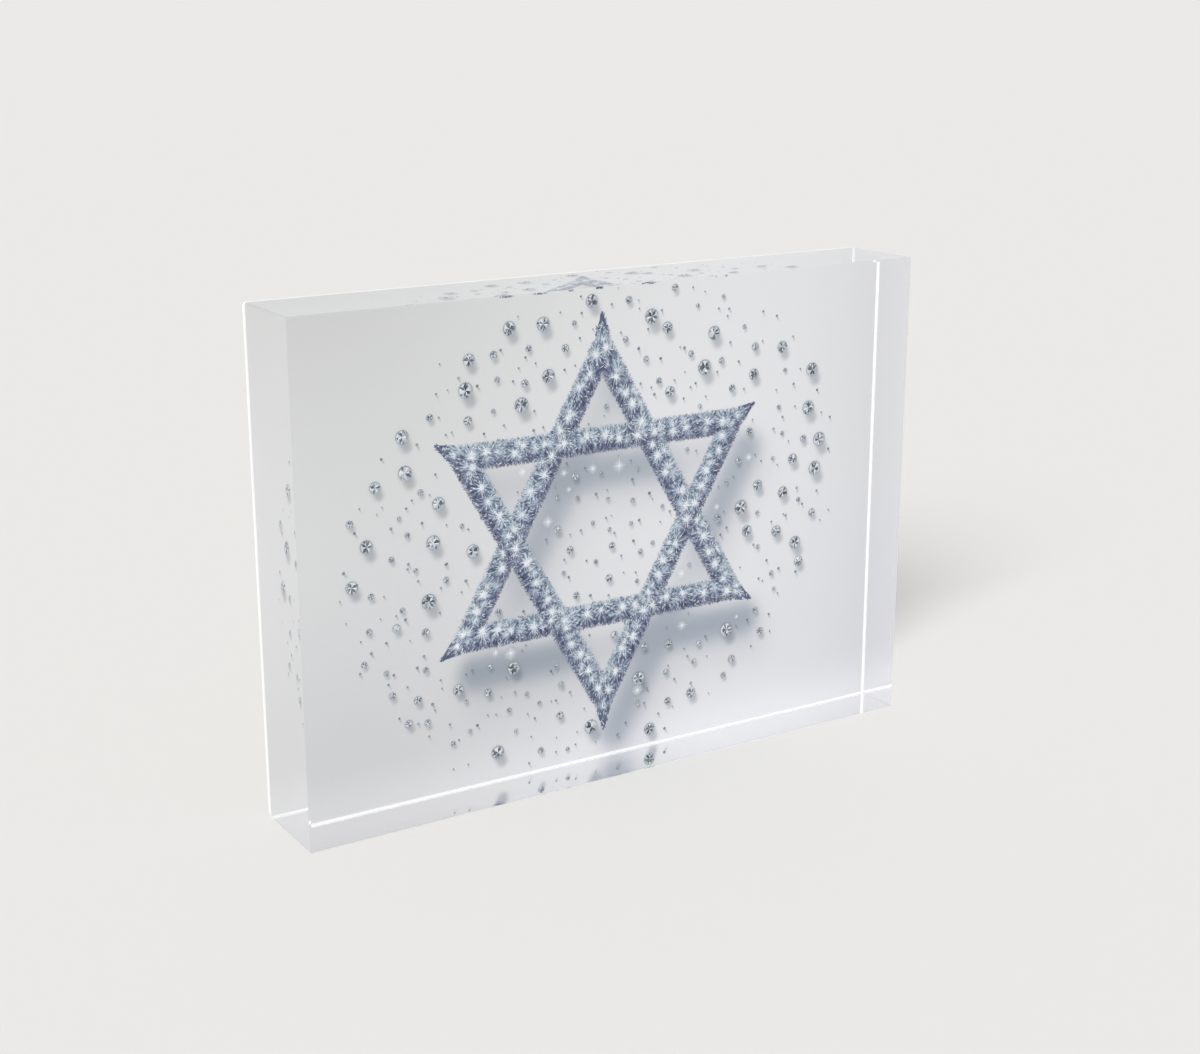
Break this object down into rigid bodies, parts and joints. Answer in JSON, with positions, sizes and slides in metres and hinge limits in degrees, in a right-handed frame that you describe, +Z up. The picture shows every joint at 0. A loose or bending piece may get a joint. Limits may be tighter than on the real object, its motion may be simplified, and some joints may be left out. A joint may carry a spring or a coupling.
{
  "type": "photo block",
  "caption": "Free-standing clear rectangular block with chamfered edges and a star print bonded behind it, closed by a white backing panel.",
  "frame": {"origin": "middle of the box at the bottom, on the surface that the block stands on", "axes": "+X along the width, to the right as seen from the front; +Y from the front face to the back; +Z up"},
  "size_m": [0.1778, 0.0254, 0.127],
  "materials": {
    "clear_acrylic": "clear, polished on all faces",
    "clear_film": "clear adhesive film",
    "star_print": "printed ink",
    "stone_print": "printed ink",
    "print_white": "satin print sheet",
    "tape_adhesive": "adhesive tape",
    "panel_white": "fine matte plastic sheet"
  },
  "bodies": {
    "root": {"acrylic_block": "clear_acrylic", "mounting_film": "clear_film", "star_ink": "star_print", "stone_ink": "stone_print", "print_sheet": "print_white", "backing_tape": "tape_adhesive", "backing_panel": "panel_white"}
  },
  "joints": []
}
